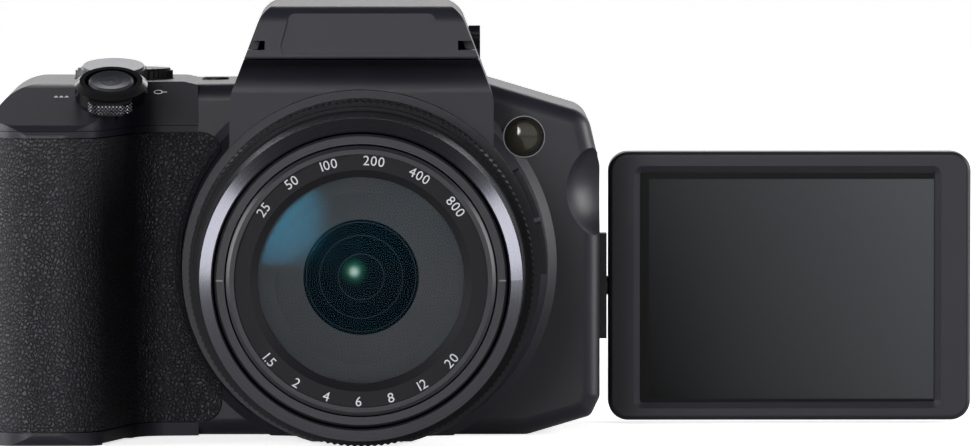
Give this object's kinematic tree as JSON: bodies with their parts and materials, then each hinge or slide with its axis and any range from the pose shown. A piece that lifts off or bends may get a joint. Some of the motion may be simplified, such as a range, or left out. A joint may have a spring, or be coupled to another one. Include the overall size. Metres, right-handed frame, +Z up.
{
  "type": "bridge camera",
  "caption": "Compact body with a fixed long zoom lens, rubber hand grip, eye-level finder under a lift-up flash, and a screen that swings out and turns.",
  "frame": {"origin": "mouth of the tripod socket, in the base plane under the lens axis", "axes": "+Z up; the lens looks along -Y; +X is the right-hand side of the picture, the screen's side"},
  "size_m": [0.205, 0.116, 0.0909],
  "materials": {
    "moulded_black": "fine spark texture",
    "satin_black": "satin",
    "gloss_black": "polished",
    "ring_black": "anodised satin",
    "grip_rubber": "pebbled",
    "eyecup_rubber": "matt",
    "front_glass": "coated",
    "inner_glass": "coated",
    "lamp_amber": "moulded",
    "screen_cover": "gloss",
    "display_dark": "gloss",
    "flash_clear": "ribbed",
    "reflector_bright": "polished",
    "steel": "zinc plated",
    "socket_steel": "turned",
    "board_green": "lacquered",
    "frame_steel": "pressed",
    "cell_grey": "moulded",
    "card_blue": "moulded",
    "capacitor_sleeve": "shrink sleeve"
  },
  "bodies": {
    "root": {"front_cover": "moulded_black", "rear_cover": "moulded_black", "top_cover": "moulded_black", "rubber_grips": "grip_rubber", "lamp_lens": "lamp_amber", "lens_housing": "satin_black", "lens_ring": "satin_black", "front_ring": "ring_black", "lens_guide": "satin_black", "focus_group": "satin_black", "zoom_motor": "steel", "image_sensor": "board_green", "eyecup": "eyecup_rubber", "eyepiece_lens": "inner_glass", "finder_housing": "satin_black", "hinge_pins": "steel", "tripod_socket": "socket_steel", "base_plate": "frame_steel", "base_screws": "steel", "battery": "cell_grey", "battery_box": "satin_black", "memory_card": "card_blue", "strap_bars": "steel", "circuit_boards": "board_green", "inner_frame": "frame_steel", "flash_capacitor": "capacitor_sleeve", "terminal_jacks": "steel"},
    "outer_barrel": {"outer_barrel": "satin_black"},
    "inner_barrel": {"inner_barrel": "satin_black", "name_ring": "satin_black", "front_lens": "front_glass", "lens_baffle": "satin_black", "second_lens": "inner_glass"},
    "flash": {"flash_head": "moulded_black", "flash_window": "flash_clear", "flash_reflector": "reflector_bright"},
    "shutter_button": {"shutter_button": "gloss_black"},
    "zoom_lever": {"zoom_lever": "gloss_black"},
    "front_dial": {"front_dial": "satin_black"},
    "mode_dial": {"mode_dial": "satin_black"},
    "power_button": {"power_button": "satin_black"},
    "framing_button_1": {"framing_button_1": "satin_black"},
    "framing_button_2": {"framing_button_2": "satin_black"},
    "movie_button": {"movie_button": "satin_black"},
    "lock_button": {"lock_button": "satin_black"},
    "frame_button": {"frame_button": "satin_black"},
    "playback_button": {"playback_button": "satin_black"},
    "menu_button": {"menu_button": "satin_black"},
    "info_button": {"info_button": "satin_black"},
    "four_way_pad": {"four_way_pad": "satin_black"},
    "set_button": {"set_button": "satin_black"},
    "dioptre_dial": {"dioptre_dial": "satin_black"},
    "screen_neck": {"screen_neck": "satin_black"},
    "screen": {"screen_bezel": "moulded_black", "screen_shell": "moulded_black", "screen_glass": "screen_cover", "screen_display": "display_dark"},
    "battery_door": {"battery_door": "moulded_black"},
    "door_catch": {"door_catch": "satin_black"},
    "terminal_cover": {"terminal_cover": "moulded_black"}
  },
  "joints": [
    {"name": "zoom_outer", "type": "slide", "parent": "root", "child": "outer_barrel", "axis": [0, -1, 0], "range_m": [0, 0.031]},
    {"name": "zoom_inner", "type": "slide", "parent": "outer_barrel", "child": "inner_barrel", "axis": [0, -1, 0], "range_m": [0, 0.027]},
    {"name": "flash_lift", "type": "hinge", "parent": "root", "child": "flash", "pos_m": [0, -0.004, 0.0891], "axis": [-1, 0, 0], "range_deg": [0, 30]},
    {"name": "shutter_press", "type": "slide", "parent": "root", "child": "shutter_button", "axis": [0, 0.4067, -0.9135], "range_m": [0, 0.0012], "stiffness_N_per_m": 200},
    {"name": "zoom_lever_turn", "type": "hinge", "parent": "root", "child": "zoom_lever", "pos_m": [-0.0515, -0.0316, 0.07103], "axis": [0, -0.4067, 0.9135], "range_deg": [-22, 22], "stiffness_Nm_per_rad": 0.02},
    {"name": "front_dial_turn", "type": "hinge", "parent": "root", "child": "front_dial", "pos_m": [-0.0515, -0.0153, 0.0771], "axis": [0, -0.2079, 0.9781], "continuous": true},
    {"name": "mode_dial_turn", "type": "hinge", "parent": "root", "child": "mode_dial", "pos_m": [-0.0498, 0.0036, 0.075], "axis": [0, 0, 1], "continuous": true},
    {"name": "power_press", "type": "slide", "parent": "root", "child": "power_button", "axis": [0, 0, -1], "range_m": [0, 0.0005], "stiffness_N_per_m": 150},
    {"name": "framing_press_1", "type": "slide", "parent": "root", "child": "framing_button_1", "axis": [-0.9135, 0, -0.4067], "range_m": [0, 0.0005], "stiffness_N_per_m": 150},
    {"name": "framing_press_2", "type": "slide", "parent": "root", "child": "framing_button_2", "axis": [-0.9945, 0, -0.1045], "range_m": [0, 0.0005], "stiffness_N_per_m": 150},
    {"name": "movie_press", "type": "slide", "parent": "root", "child": "movie_button", "axis": [0, -1, 0], "range_m": [0, 0.0005], "stiffness_N_per_m": 150},
    {"name": "lock_press", "type": "slide", "parent": "root", "child": "lock_button", "axis": [0, -1, 0], "range_m": [0, 0.0005], "stiffness_N_per_m": 150},
    {"name": "frame_press", "type": "slide", "parent": "root", "child": "frame_button", "axis": [0, -1, 0], "range_m": [0, 0.0005], "stiffness_N_per_m": 150},
    {"name": "playback_press", "type": "slide", "parent": "root", "child": "playback_button", "axis": [0, -1, 0], "range_m": [0, 0.0005], "stiffness_N_per_m": 150},
    {"name": "menu_press", "type": "slide", "parent": "root", "child": "menu_button", "axis": [0, -1, 0], "range_m": [0, 0.0005], "stiffness_N_per_m": 150},
    {"name": "info_press", "type": "slide", "parent": "root", "child": "info_button", "axis": [0, -1, 0], "range_m": [0, 0.0005], "stiffness_N_per_m": 150},
    {"name": "set_press", "type": "slide", "parent": "root", "child": "set_button", "axis": [0, -1, 0], "range_m": [0, 0.0005], "stiffness_N_per_m": 150},
    {"name": "pad_rock", "type": "hinge", "parent": "root", "child": "four_way_pad", "pos_m": [-0.0568, 0.0265, 0.0282], "axis": [1, 0, 0], "range_deg": [-3, 3], "stiffness_Nm_per_rad": 0.05},
    {"name": "dioptre_turn", "type": "hinge", "parent": "root", "child": "dioptre_dial", "pos_m": [0.0236, 0.02, 0.08], "axis": [1, 0, 0], "range_deg": [-140, 140]},
    {"name": "screen_swing", "type": "hinge", "parent": "root", "child": "screen_neck", "pos_m": [0.0465, 0.0235, 0.0291], "axis": [0, 0, 1], "range_deg": [0, 180]},
    {"name": "screen_tilt", "type": "hinge", "parent": "screen_neck", "child": "screen", "pos_m": [0.052, 0.0235, 0.0291], "axis": [1, 0, 0], "range_deg": [-270, 0]},
    {"name": "door_swing", "type": "hinge", "parent": "root", "child": "battery_door", "pos_m": [-0.0632, -0.0005, 0.001], "axis": [1, 0, 0], "range_deg": [0, 100]},
    {"name": "catch_slide", "type": "slide", "parent": "battery_door", "child": "door_catch", "axis": [1, 0, 0], "range_m": [0, 0.0025]},
    {"name": "terminal_swing", "type": "hinge", "parent": "root", "child": "terminal_cover", "pos_m": [-0.07575, 0.00675, 0.02575], "axis": [0, 0, 1], "range_deg": [0, 100]}
  ],
  "couplings": [
    {"joint": "zoom_inner", "follows": "zoom_outer", "ratio": 0.87097}
  ]
}
